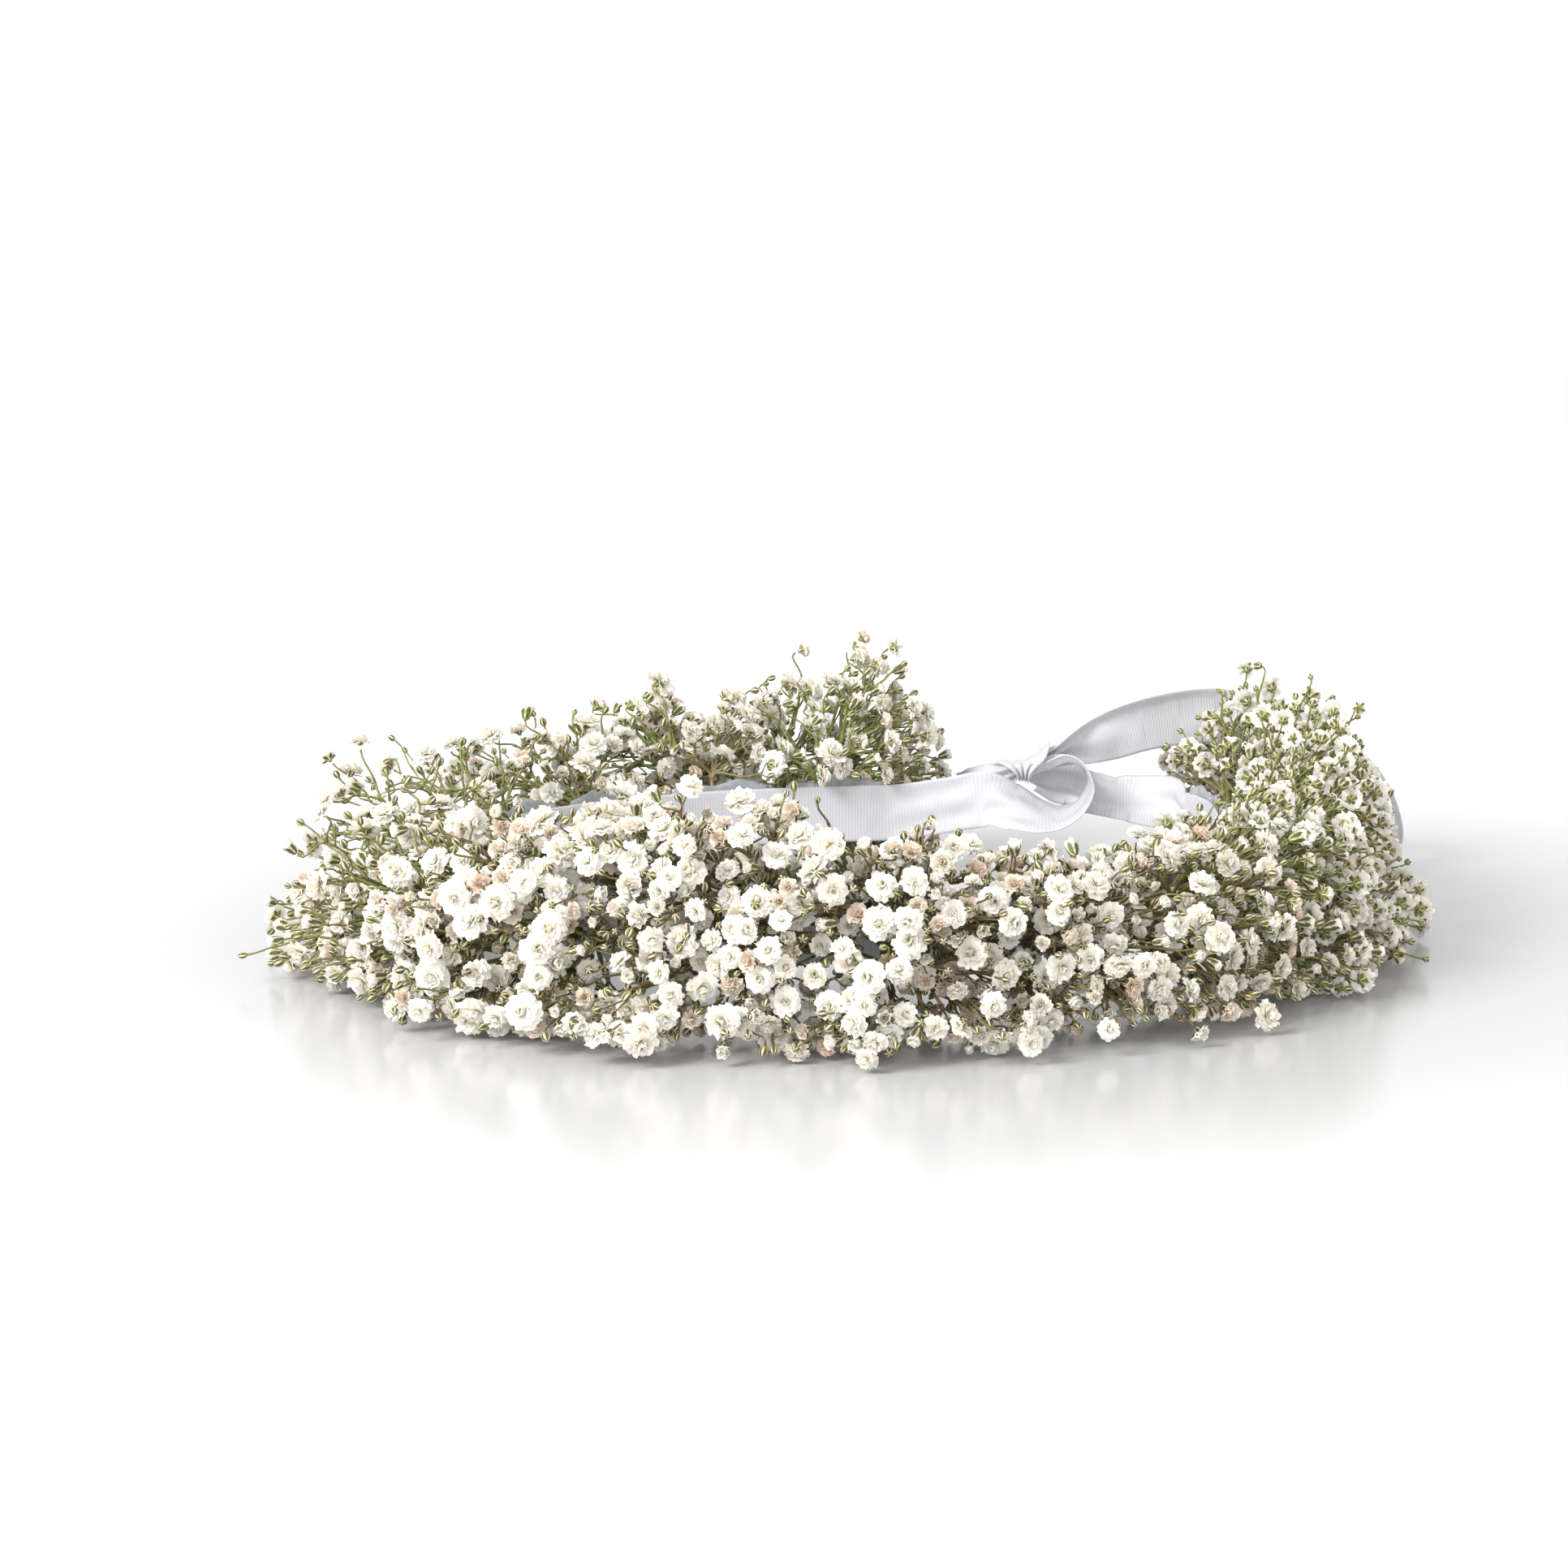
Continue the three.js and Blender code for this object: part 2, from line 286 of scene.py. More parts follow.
def calyx(rng, spread):
    """The green cup behind a flower and its five sepals, which lie against the petals."""
    cup = round_shell([(0.28, -0.1), (0.8, 0.35), (1.1, 1.1), (1.2, 1.9)])
    verts, faces, tints = [[part] for part in cup]
    count = len(verts[0])
    v = np.linspace(0, 1, 4)[:, None]
    u = np.linspace(-1, 1, 3)[None, :]
    for k in range(5):
        swing = 2 * math.pi * (k + rng.uniform(-0.1, 0.1)) / 5
        reach = 2.6 * rng.uniform(0.85, 1.15)
        r = 0.9 + spread * reach * v + 0 * u
        z = 1.0 + (1 - spread * 0.85) * reach * v - 0.15 * (1 - u ** 2)
        side = 0.88 * np.sin(np.clip(v * 0.85 + 0.15, 0, 1) * math.pi) ** 0.7 * u
        c, s = math.cos(swing), math.sin(swing)
        x, y = r * c - side * s, r * s + side * c
        verts.append(np.stack([x, y, np.broadcast_to(z, x.shape)], -1).reshape(-1, 3))
        faces.append(grid_faces(4, 3) + count)
        edge = np.broadcast_to(np.abs(u), (4, 3)).ravel()
        along = np.broadcast_to(v, (4, 3)).ravel()
        tints.append(np.column_stack([edge, along, along * 0, along * 0]))
        count += 12
    return np.vstack(verts), np.vstack(faces), np.vstack(tints)


def bud(rng):
    """A closed bud: an egg of five dark sepals with pale seams."""
    width = rng.uniform(0.85, 1.1)
    profile = [(0.22, -0.15), (0.7, 0.2), (1.02, 0.8), (1.1, 1.45), (0.85, 2.05), (0.42, 2.4),
               (0.08, 2.55)]
    return round_shell([(r * width, z) for r, z in profile])


def place(pile, template, spots, facing, spin, size, extra):
    """Adds a copy of template at each spot, facing that way and turned by spin. extra holds the last
    two tint numbers."""
    verts, faces, tints = template
    if not len(spots):
        return
    helper = np.where(np.abs(facing[:, 2:3]) < 0.9, [[0.0, 0.0, 1.0]], [[1.0, 0.0, 0.0]])
    side = unit(np.cross(helper, facing))
    other = np.cross(facing, side)
    c, s = np.cos(spin)[:, None], np.sin(spin)[:, None]
    axes = np.stack([side * c + other * s, other * c - side * s, facing], 1)
    moved = np.einsum("nk,mkj->mnj", verts, axes) * size[:, None, None] + spots[:, None, :]
    m, n = len(spots), len(verts)
    all_faces = faces[None] + (np.arange(m) * n)[:, None, None]
    all_tints = np.broadcast_to(tints, (m, n, 4)).copy()
    all_tints[:, :, 2:] = extra[:, None, :]
    pile.add(pressed_by_table(moved), all_faces, all_tints)


def pressed_by_table(verts):
    """Squeezes what hangs too low into the space just above the table."""
    verts = verts.copy()
    low = verts[..., 2] < TABLE_SQUEEZE
    verts[..., 2][low] = TABLE_SQUEEZE * np.exp(verts[..., 2][low] / TABLE_SQUEEZE - 1)
    return verts


# ---------------------------------------------------------------- twigs

def twig_curves(start, start_way, end, end_way, points):
    """Smooth curves that leave start along start_way and reach end along end_way."""
    gap = np.linalg.norm(end - start, axis=1, keepdims=True)
    a, b = start + start_way * gap * 0.38, end - end_way * gap * 0.38
    t = np.linspace(0, 1, points)[None, :, None]
    return ((1 - t) ** 3 * start[:, None] + 3 * t * (1 - t) ** 2 * a[:, None]
            + 3 * t * t * (1 - t) * b[:, None] + t ** 3 * end[:, None])


def add_tubes(pile, curves, radii, sides, tints):
    """Round tubes along curves (m, points, 3), with a radius and a tint for each point."""
    m, points, _ = curves.shape
    way = unit(np.gradient(curves, axis=1))
    mean = unit(way.mean(1))
    helper = np.where(np.abs(mean[:, 2:3]) < 0.8, [[0.0, 0.0, 1.0]], [[1.0, 0.0, 0.0]])[:, None, :]
    side = unit(np.cross(np.broadcast_to(helper, way.shape), way))
    other = np.cross(way, side)
    angle = np.arange(sides) * 2 * math.pi / sides
    ring = side[:, :, None] * np.cos(angle)[:, None] + other[:, :, None] * np.sin(angle)[:, None]
    verts = curves[:, :, None] + ring * radii[:, :, None, None]
    start = (np.arange(m) * points * sides)[:, None, None]
    faces = closed_tube_faces(points, sides)[None] + start
    all_tints = np.broadcast_to(tints[:, :, None, :], (m, points, sides, 4))
    pile.add(pressed_by_table(verts), faces, all_tints)


def clusters(points, size, rng):
    """Splits points into groups of about size that lie near each other, as a label for each."""
    count = max(1, round(len(points) / size))
    if count >= len(points):
        return np.arange(len(points))
    middles = [points[rng.integers(len(points))]]
    for _ in range(count - 1):
        gap = np.min([np.linalg.norm(points - m, axis=1) for m in middles], 0)
        middles.append(points[gap.argmax()])
    middles = np.array(middles)
    for _ in range(8):
        label = np.linalg.norm(points[:, None] - middles[None], axis=2).argmin(1)
        for k in range(count):
            if (label == k).any():
                middles[k] = points[label == k].mean(0)
    return np.unique(label, return_inverse=True)[1]


# ---------------------------------------------------------------- the ring that it all follows

def band_line():
    """The ribbon's middle line seen from above, from the right-hand end round the front, and the
    heights of its two edges."""
    mesh = frame["nodes"]["ribbon_band"].data
    co = np.zeros(len(mesh.vertices) * 3)
    mesh.vertices.foreach_get("co", co)
    co = co.reshape(-1, 3) / MM
    low, high = co[:, 2].min(), co[:, 2].max()
    flat = co[co[:, 2] < (low + high) / 2, :2]
    centre = (flat.min(0) + flat.max(0)) / 2
    angle = np.arctan2(*(flat - centre).T[::-1])
    order = np.argsort(angle)
    flat, angle = flat[order], angle[order]
    gap = np.append(np.diff(angle), angle[0] + 2 * math.pi - angle[-1])
    widest = gap.argmax()
    flat, gap = np.roll(flat, -widest - 1, axis=0), np.roll(gap, -widest - 1)
    cuts = np.flatnonzero(gap[:-1] > math.radians(0.9)) + 1
    line = np.array([g.mean(0) for g in np.split(flat, cuts)])[::-1]
    return np.column_stack([line, np.zeros(len(line))]), low, high


BAND, BAND_LOW, BAND_HIGH = band_line()
BAND = spline(BAND, 700)
BAND_REACH = lengths_along(BAND)
BAND_LENGTH = BAND_REACH[-1]
BAND_WAY = unit(np.gradient(BAND, axis=0))


def ring_frame(along):
    """Point on the ribbon, the way along it and the way outwards, at distances along the ring."""
    inside = np.clip(along, 0, BAND_LENGTH)
    point = np.column_stack([np.interp(inside, BAND_REACH, BAND[:, k]) for k in range(3)])
    way = unit(np.column_stack([np.interp(inside, BAND_REACH, BAND_WAY[:, k]) for k in range(3)]))
    out = np.column_stack([-way[:, 1], way[:, 0], 0 * inside])
    return point + way * (along - inside)[:, None], way, out


def ring_place(along, out, up):
    point, _, outwards = ring_frame(along)
    spot = point + outwards * np.asarray(out)[:, None]
    spot[:, 2] = up
    return spot


# ---------------------------------------------------------------- materials

def new_material(name):
    material = bpy.data.materials.new(name)
    material.use_nodes = True
    nodes = material.node_tree.nodes
    return material, nodes, material.node_tree.links, nodes["Principled BSDF"]


def node(nodes, kind, **settings):
    made = nodes.new(kind)
    for key, value in settings.items():
        setattr(made, key, value)
    return made


def ramp(nodes, stops, source, links):
    """A colour ramp over stops, (place, colour), read from a socket."""
    made = nodes.new("ShaderNodeValToRGB")
    elements = made.color_ramp.elements
    while len(elements) < len(stops):
        elements.new(0.5)
    for element, (spot, colour) in zip(elements, stops):
        element.position = spot
        element.color = (*colour, 1)
    links.new(source, made.inputs["Fac"])
    return made.outputs["Color"]


def mixed(nodes, links, factor, a, b):
    """Colour a where factor is 0 and b where it is 1. Each may be a socket or a colour."""
    made = node(nodes, "ShaderNodeMix", data_type="RGBA")
    for socket, value in ((made.inputs[0], factor), (made.inputs[6], a), (made.inputs[7], b)):
        if isinstance(value, bpy.types.NodeSocket):
            links.new(value, socket)
        elif isinstance(value, tuple):
            socket.default_value = (*value, 1)
        else:
            socket.default_value = value
    return made.outputs[2]


def multiplied(nodes, links, a, b):
    """Two colour sockets multiplied."""
    made = node(nodes, "ShaderNodeMix", data_type="RGBA", blend_type="MULTIPLY")
    made.inputs[0].default_value = 1.0
    links.new(a, made.inputs[6])
    links.new(b, made.inputs[7])
    return made.outputs[2]


def math_node(nodes, links, operation, a, b=0.0, clamp=False):
    made = node(nodes, "ShaderNodeMath", operation=operation, use_clamp=clamp)
    for socket, value in zip(made.inputs, (a, b)):
        if isinstance(value, bpy.types.NodeSocket):
            links.new(value, socket)
        else:
            socket.default_value = value
    return made.outputs[0]


def tint_sockets(nodes, links):
    """The four numbers of the tint attribute."""
    attribute = node(nodes, "ShaderNodeAttribute", attribute_name="tint")
    split = nodes.new("ShaderNodeSeparateColor")
    links.new(attribute.outputs["Color"], split.inputs["Color"])
    return (*split.outputs, attribute.outputs["Alpha"])


def noise(nodes, links, scale, detail=3.0, stretch=(1.0, 1.0, 1.0)):
    """Noise over the object's own coordinates, which are scaled by stretch first."""
    where = nodes.new("ShaderNodeTexCoord")
    mapping = nodes.new("ShaderNodeMapping")
    mapping.inputs["Scale"].default_value = stretch
    made = nodes.new("ShaderNodeTexNoise")
    made.inputs["Scale"].default_value = scale
    made.inputs["Detail"].default_value = detail
    links.new(where.outputs["Object"], mapping.inputs["Vector"])
    links.new(mapping.outputs["Vector"], made.inputs["Vector"])
    return made.outputs["Fac"]


def add_bump(nodes, links, shader, height, strength, distance):
    bump = nodes.new("ShaderNodeBump")
    bump.inputs["Strength"].default_value = strength
    bump.inputs["Distance"].default_value = distance
    links.new(height, bump.inputs["Height"])
    links.new(bump.outputs["Normal"], shader.inputs["Normal"])


def add_glow(nodes, links, shader, share):
    """Lets a share of the light through the surface. Returns the socket for its colour."""
    glow = nodes.new("ShaderNodeBsdfTranslucent")
    mix = nodes.new("ShaderNodeMixShader")
    mix.inputs[0].default_value = share
    links.new(shader.outputs[0], mix.inputs[1])
    links.new(glow.outputs[0], mix.inputs[2])
    links.new(mix.outputs[0], nodes["Material Output"].inputs["Surface"])
    return glow.inputs["Color"]


def petal_material():
    """White double petals, creamy and greenish in the heart, some aged to cream and blush. The darker
    greenish cream at each petal's base is partly the flower's own heart tint and partly painted shade where
    the petals overlap.
    """
    material, nodes, links, shader = new_material("petal")
    along, inner, chance, age = tint_sockets(nodes, links)
    fresh = mixed(nodes, links, chance, (0.96, 0.955, 0.92), (0.94, 0.91, 0.84))
    old = ramp(nodes, [(0.0, (0.93, 0.90, 0.84)), (0.5, (0.90, 0.81, 0.71)),
                       (0.85, (0.88, 0.74, 0.63)), (1.0, (0.79, 0.63, 0.50))], age, links)
    body = mixed(nodes, links, math_node(nodes, links, "MULTIPLY", age, 1.6, clamp=True), fresh, old)
    # Partly real tint, partly painted shade: each petal darkens to greenish cream towards its base, where
    # the petals overlap
    heart_tint_and_painted_shade = ramp(nodes, [(0.1, (0.80, 0.78, 0.60)), (0.5, (1.0, 1.0, 1.0))], along, links)
    style = ramp(nodes, [(0.94, (1.0, 1.0, 1.0)), (0.99, (0.62, 0.64, 0.22))], inner, links)
    body = multiplied(nodes, links, body, heart_tint_and_painted_shade)
    body = multiplied(nodes, links, body, style)
    links.new(body, shader.inputs["Base Color"])
    shader.inputs["Roughness"].default_value = 0.6
    glow_colour = add_glow(nodes, links, shader, 0.32)
    links.new(mixed(nodes, links, 0.5, body, (0.95, 0.88, 0.73)), glow_colour)
    return material


def sepal_material():
    """Sepals and buds: dark olive ribs between pale green and white seams."""
    material, nodes, links, shader = new_material("sepal")
    edge, along, chance, age = tint_sockets(nodes, links)
    dark = mixed(nodes, links, age, (0.07, 0.072, 0.02), (0.085, 0.05, 0.035))
    pale = mixed(nodes, links, chance, (0.46, 0.49, 0.20), (0.68, 0.62, 0.43))
    green = mixed(nodes, links, chance, (0.20, 0.26, 0.05), (0.27, 0.27, 0.09))
    rib = ramp(nodes, [(0.48, (0, 0, 0)), (0.82, (1, 1, 1))], edge, links)
    striped = mixed(nodes, links, rib, dark, pale)
    past_foot = ramp(nodes, [(0.05, (0, 0, 0)), (0.4, (1, 1, 1))], along, links)
    body = mixed(nodes, links, past_foot, green, striped)
    links.new(body, shader.inputs["Base Color"])
    shader.inputs["Roughness"].default_value = 0.48
    add_bump(nodes, links, shader, noise(nodes, links, 1500.0), 0.3, 0.0002)
    return material


def twig_material():
    """Stems: green to olive to brown, with dry tan rings at the forks."""
    material, nodes, links, shader = new_material("twig")
    brown, fork = tint_sockets(nodes, links)[:2]
    body = ramp(nodes, [(0.0, (0.17, 0.23, 0.045)), (0.4, (0.20, 0.20, 0.065)),
                        (0.75, (0.20, 0.15, 0.07)), (1.0, (0.12, 0.085, 0.045))], brown, links)
    body = mixed(nodes, links, fork, body, (0.42, 0.29, 0.15))
    grain = noise(nodes, links, 700.0)
    # The stems' own grain: lighter and darker at random along them
    grain_tone_and_groove_shade = ramp(nodes, [(0.3, (0.7, 0.7, 0.7)), (0.7, (1.15, 1.15, 1.1))], grain, links)
    links.new(multiplied(nodes, links, body, grain_tone_and_groove_shade), shader.inputs["Base Color"])
    shader.inputs["Roughness"].default_value = 0.55
    return material


def ribbon_material():
    """White grosgrain with a cool cast and a soft sheen, its rib grooves painted darker as painted shade."""
    material, nodes, links, shader = new_material("grosgrain")
    crest = tint_sockets(nodes, links)[0]
    # Painted shade: darker in the grooves between the ribs, lighter on their crests
    rib = ramp(nodes, [(0.0, (0.60, 0.60, 0.635)), (0.55, (0.73, 0.73, 0.752))], crest, links)
    links.new(rib, shader.inputs["Base Color"])
    shader.inputs["Roughness"].default_value = 0.5
    shader.inputs["Sheen Weight"].default_value = 0.3
    shader.inputs["Sheen Roughness"].default_value = 0.4
    threads = noise(nodes, links, 2600.0, 2.0, (1.0, 1.0, 0.35))
    add_bump(nodes, links, shader, threads, 0.25, 0.0001)
    add_glow(nodes, links, shader, 0.35).default_value = (0.76, 0.76, 0.79, 1)
    return material


def glue_material():
    """Set hot-melt glue: cloudy, grey and glossy."""
    material, nodes, links, shader = new_material("hot_glue")
    cloud = noise(nodes, links, 260.0)
    body = ramp(nodes, [(0.3, (0.42, 0.44, 0.47)), (0.7, (0.66, 0.68, 0.70))], cloud, links)
    links.new(body, shader.inputs["Base Color"])
    shader.inputs["Roughness"].default_value = 0.16
    shader.inputs["Transmission Weight"].default_value = 0.55
    shader.inputs["IOR"].default_value = 1.48
    return material


# ---------------------------------------------------------------- sprays

def spray_value(values, along):
    """A value of the sprays' lists, blended between their middles."""
    pitch = BAND_LENGTH / len(values)
    middles = (np.arange(len(values)) + 0.5) * pitch
    return np.interp(along, middles, values)


def lumps(spots):
    """A smooth value from 0 to 1 that makes the flowers bunch, from waves 17 to 34 mm long."""
    rng = np.random.default_rng(SEED + 7)
    total = np.zeros(len(spots))
    for _ in range(9):
        way = unit(rng.normal(0, 1, 3)) * 2 * math.pi / rng.uniform(17, 34)
        total += np.sin(spots @ way + rng.uniform(0, 6.3))
    return blend_in(total, -3.0, 3.0)


def gap_to_ribbon(spots):
    """How far each spot is from the ribbon, its ties and its tails, which are built first."""
    points = np.concatenate(RIBBON_POINTS)
    tree = KDTree(len(points))
    for k, point in enumerate(points):
        tree.insert(point, k)
    tree.balance()
    return np.array([tree.find(spot)[2] for spot in spots])


def sample_heads(rng, count, tries, depth_low, depth_high, keep_clear, taken, clearance, bunching):
    """Places for flower heads in the garland, as (along, out, up) rows. They are about keep_clear apart
    and about clearance away from those already taken, more where the garland is airy or sparse."""
    along = rng.uniform(-RIGHT_DOME, BAND_LENGTH + LEFT_DOME, tries)
    angle = np.radians(rng.uniform(-100, 200, tries))
    over = np.maximum(np.maximum(-along / RIGHT_DOME, (along - BAND_LENGTH) / LEFT_DOME), 0)
    end = np.maximum(1 - over ** 2, 0) ** 0.4
    top, reach = spray_value(SPRAY_TOPS, along), spray_value(SPRAY_REACH, along)
    middle_out, middle_up = reach * 0.5 + 1, top * 0.36
    airy = (1 - spray_value(SPRAY_FULLNESS, along)) * blend_in(np.sin(angle), -0.7, 0.3)
    # The lower half is squarer than an ellipse, as the flowers spread where they meet the table
    square = np.where(np.sin(angle) < 0, 0.5, 1.0)
    side = np.sign(np.cos(angle)) * np.abs(np.cos(angle)) ** square
    rise = np.sign(np.sin(angle)) * np.abs(np.sin(angle)) ** square
    spread = 5 * blend_in(-rise, 0, 0.6)
    far_out = np.where(side > 0, reach - middle_out - 3.5 + spread, middle_out + 3)
    far_up = np.where(rise > 0, top - middle_up - 3, middle_up - 3)
    edge = ring_place(along, middle_out + far_out * side, middle_up + far_up * rise)
    lump = lumps(edge)
    depth = rng.uniform(depth_low - 0.5 * airy, depth_high + 0.1 * airy)
    depth = depth * (1 + bunching * (0.34 * lump - 0.16)) * end
    out = middle_out + far_out * side * depth
    up = middle_up + far_up * rise * depth
    # The right-hand end leaves its tie in view from the front, and closes over it only above
    over_tie = blend_in(up, 28, 40) * (1 - blend_in(along, 20, 60))
    nearest = np.where(along < OPEN_STRETCH, 12 - 14 * over_tie, 8)
    clear = ((out > nearest) | ((up > BAND_HIGH + 3.5) & (along > OPEN_STRETCH))) & (up > 2.6)
    good = clear & (rng.uniform(0, 1, tries) < 1 - bunching * 0.75 * (1 - lump))
    good[good] = gap_to_ribbon(ring_place(along[good], out[good], up[good])) > RIBBON_CLEARANCE
    candidates = np.column_stack([along, out, up])[good]
    spots = ring_place(*candidates.T)
    room = (spray_value(SPRAY_SPACING, along) * (1 + 1.5 * airy + 0.3 * bunching * (1 - lump)))[good]
    everything = np.zeros((len(taken) + len(spots), 3))
    everything[:len(taken)] = taken
    limits = np.full(len(everything), float(keep_clear))
    limits[:len(taken)] = clearance
    kept, filled = [], len(taken)
    for row, spot, wide in zip(candidates, spots, room):
        if len(kept) == count:
            break
        near = ((everything[:filled] - spot) ** 2).sum(1)
        if (near < (limits[:filled] * wide) ** 2).any():
            continue
        kept.append(row)
        everything[filled] = spot
        filled += 1
    return np.array(kept)


def grow(rng, number, heads, is_bud, twigs):
    """Branching twigs from the glue to every head of one spray. Returns each head's place and facing."""
    pitch = BAND_LENGTH / len(SPRAY_TOPS)
    lean = SPRAY_LEAN[number]
    target = ring_place(*heads.T)
    _, way, out = ring_frame(heads[:, 0])
    middle_up = spray_value(SPRAY_TOPS, heads[:, 0]) * 0.42
    middle_out = spray_value(SPRAY_REACH, heads[:, 0]) * 0.42
    radial = unit(out * (heads[:, 1] - middle_out)[:, None]
                  + np.array([0, 0, 1.0]) * (heads[:, 2] - middle_up)[:, None])
    first = clusters(target, len(target) / 8, rng)
    facing = np.zeros_like(target)
    root_along = (number + 0.5) * pitch - lean * pitch * 0.9
    for branch in range(first.max() + 1):
        mine = np.flatnonzero(first == branch)
        centre = target[mine].mean(0)
        start_along = np.clip(root_along + rng.uniform(-8, 8), 2, BAND_LENGTH - 2)
        height = rng.uniform(BAND_LOW + 2, BAND_HIGH - 2)
        rooted = np.array([start_along + lean * 10])
        base = ring_place(np.clip(rooted, 1, BAND_LENGTH - 1), np.array([STEM_BED]), height)
        _, root_way, root_out = ring_frame(rooted)
        run = -1.0 if lean < 0 else 1.0
        bed = np.clip(start_along + lean * 10 - run * np.linspace(24, 0, 7), 1, BAND_LENGTH - 1)
        laid = ring_place(bed, STEM_BED + 0 * bed, height)
        fork = base + (centre - base) * 0.45 + rng.uniform(-2, 2, (1, 3))
        leave = unit(root_way * run + root_out * 0.8)
        arrive = unit(centre - fork)
        brown = np.clip(rng.normal(SPRAY_BROWN[number], 0.2), 0, 1)
        add_curves(rng, twigs, laid[None], 1.0, 0.95, brown, 6)
        add_twigs(rng, twigs, base, leave, fork, arrive, 0.95, 0.62, brown, 7, 6)
        second = clusters(target[mine], 5, rng)
        for group in range(second.max() + 1):
            few = mine[second == group]
            middle = target[few].mean(0)
            split = fork + (middle - fork) * 0.58 + rng.uniform(-1, 1, (1, 3))
            onward = unit(middle - split)
            add_twigs(rng, twigs, fork, arrive, split, onward, 0.58, 0.4, brown + 0.1, 6, 6)
            third = clusters(target[few], 2, rng)
            for pair in range(third.max() + 1):
                ends = few[third == pair]
                near = target[ends].mean(0)
                node_at = split + (near - split) * 0.45
                last = unit(near - node_at)
                add_twigs(rng, twigs, split, onward, node_at, last, 0.36, 0.27, brown + 0.15, 5, 4)
                look = unit(unit(target[ends] - node_at) * 0.8 + radial[ends] * (0.8 - 0.7 * abs(lean))
                            + way[ends] * lean * 2.2 + rng.normal(0, 0.5, (len(ends), 3)))
                facing[ends] = look
                stalk = target[ends] - look * np.where(is_bud[ends], BUD_FOOT, FLOWER_FOOT)[:, None]
                repeat = np.repeat(node_at, len(ends), 0)
                add_twigs(rng, twigs, repeat, unit(look + unit(stalk - repeat)), stalk, look,
                          0.29, 0.23, brown + 0.2, 6, 4)
    return target, facing


def add_twigs(rng, pile, start, start_way, end, end_way, thick, thin, brown, points, sides):
    """Twigs from start to end. thick and thin are their radii there."""
    m = len(end)
    start, start_way = np.broadcast_to(start, (m, 3)), np.broadcast_to(start_way, (m, 3))
    curves = twig_curves(start, start_way, end, np.broadcast_to(end_way, (m, 3)), points)
    add_curves(rng, pile, curves, thick, thin, brown, sides)


def add_curves(rng, pile, curves, thick, thin, brown, sides):
    """Twigs along curves, tapered, browner towards their far ends and swollen where they fork."""
    m, points, _ = curves.shape
    t = np.linspace(0, 1, points)
    swelling = 0.45 * np.exp(-(t / 0.1) ** 2) + 0.45 * np.exp(-((1 - t) / 0.1) ** 2)
    radii = (thick + (thin - thick) * t) * (1 + swelling * (1 if thick < FINE_TWIG else 0.2))
    radii = np.broadcast_to(radii, (m, points))
    tints = np.zeros((m, points, 4))
    tints[:, :, 0] = np.clip(brown + rng.normal(0, 0.1, (m, 1)) + 0.15 * t, 0, 1)
    tints[:, :, 1] = (np.exp(-(t / 0.12) ** 2) * rng.uniform(0.2, 1, (m, 1))) * (thick < FINE_TWIG)
    tints[:, :, 2] = rng.uniform(0, 1, (m, 1))  # not used by the twigs' material
    add_tubes(pile, curves, radii, sides, tints)


